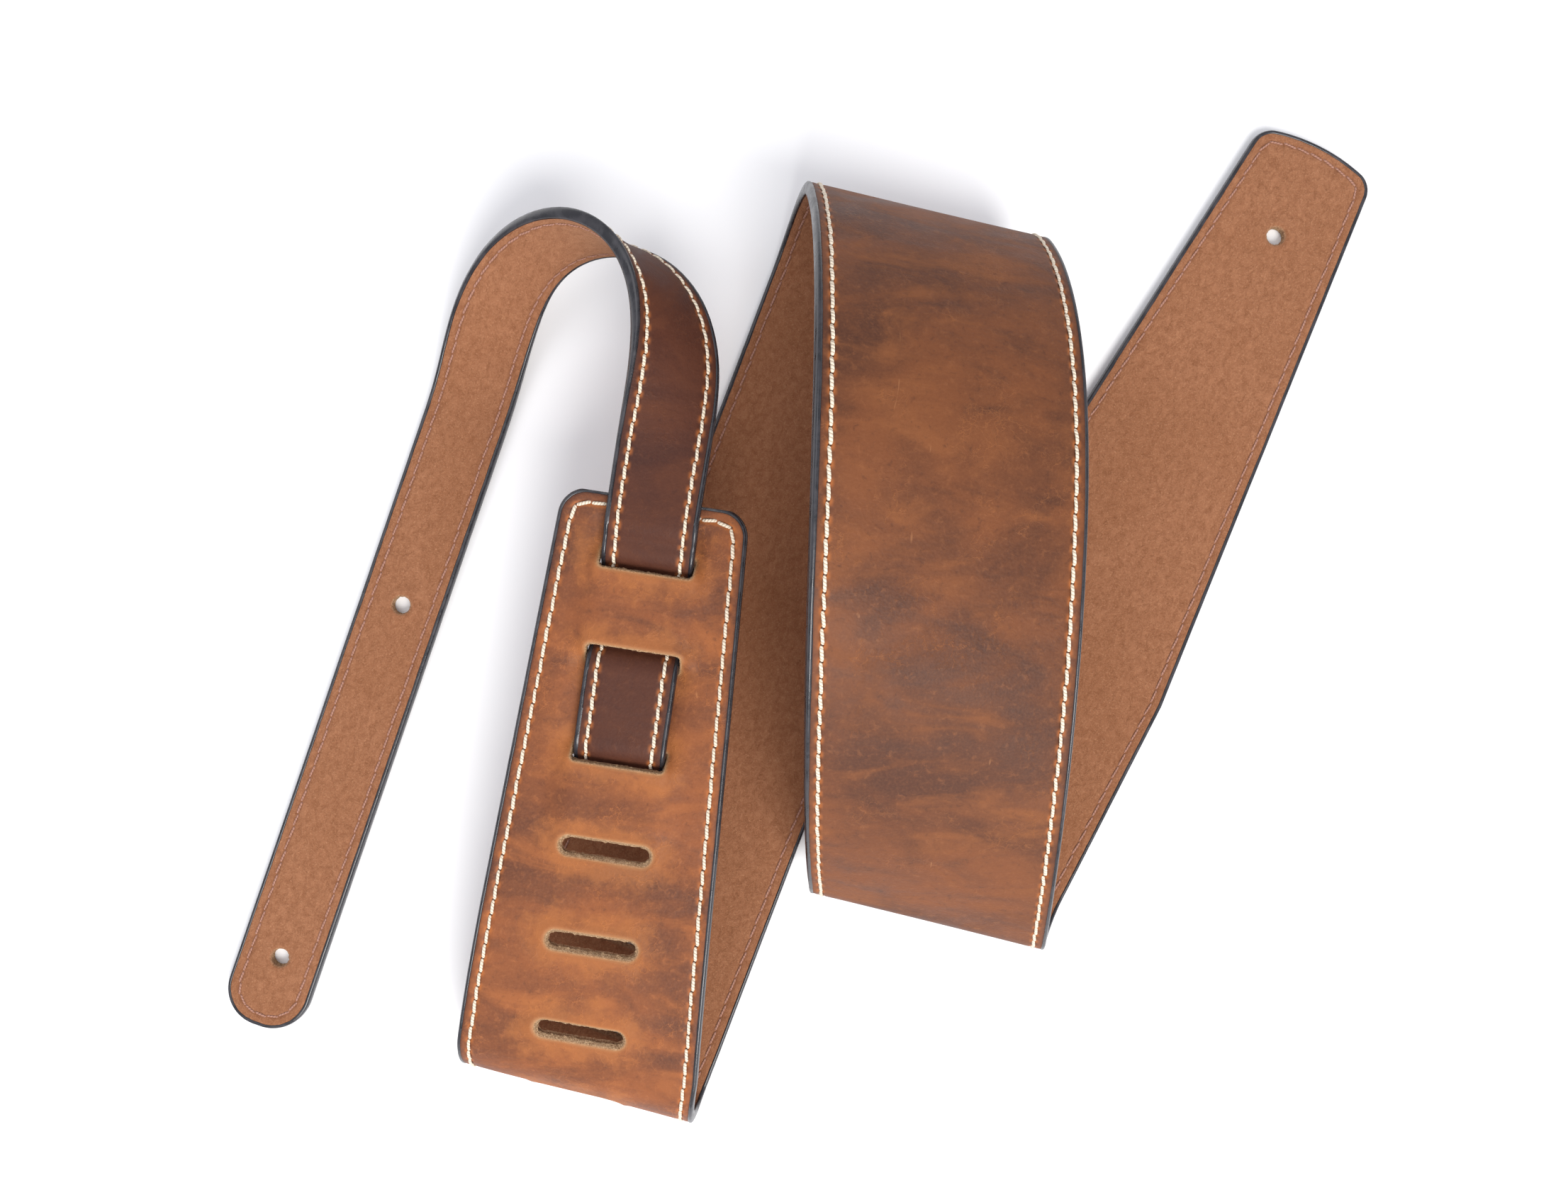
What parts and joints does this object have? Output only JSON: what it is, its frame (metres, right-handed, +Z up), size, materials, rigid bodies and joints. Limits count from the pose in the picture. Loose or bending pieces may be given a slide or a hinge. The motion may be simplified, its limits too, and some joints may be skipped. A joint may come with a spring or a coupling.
{
  "type": "guitar strap",
  "caption": "Two-ply leather guitar strap, suede lined and stitched, with a slotted end, a woven tail that sets its length, and button holes at both ends; stored folded flat.",
  "frame": {"origin": "centre of the bounding box in X and Y, on the surface the strap lies on", "axes": "+Z up; +Y along the slotted end towards its tip, the longer side of the laid strap; +X to the right with the slotted end face up"},
  "size_m": [0.2828, 0.2974, 0.0871],
  "materials": {
    "face_leather": "oiled pull-up leather, satin, with darker patches and lighter creases",
    "suede_lining": "brushed suede, fully matt, mottled nap",
    "edge_paint": "black edge paint, crowned and glossy",
    "top_thread": "waxed cream sewing thread",
    "bobbin_thread": "dull pinkish brown sewing thread"
  },
  "bodies": {
    "strap": {"main_face": "face_leather", "main_lining": "suede_lining", "main_edge_coat": "edge_paint", "main_top_thread": "top_thread", "main_bobbin_thread": "bobbin_thread", "tail_face": "face_leather", "tail_lining": "suede_lining", "tail_edge_coat": "edge_paint", "tail_top_thread": "top_thread", "tail_bobbin_thread": "bobbin_thread"},
    "tongue_end": {"tongue_face": "face_leather", "tongue_lining": "suede_lining", "tongue_edge_coat": "edge_paint", "tongue_top_thread": "top_thread", "tongue_bobbin_thread": "bobbin_thread"},
    "tail_end": {"tail_tip_face": "face_leather", "tail_tip_lining": "suede_lining", "tail_tip_edge_coat": "edge_paint", "tail_tip_top_thread": "top_thread", "tail_tip_bobbin_thread": "bobbin_thread"}
  },
  "joints": [
    {"name": "tongue_lift", "type": "hinge", "parent": "strap", "child": "tongue_end", "pos_m": [0.10598, 0.08424, 0.0032], "axis": [0.9483, -0.3173, 0], "range_deg": [0, 40]},
    {"name": "tail_lift", "type": "hinge", "parent": "strap", "child": "tail_end", "pos_m": [-0.10556, 0.00236, 0.0032], "axis": [-0.9842, 0.1771, 0], "range_deg": [0, 40]}
  ]
}
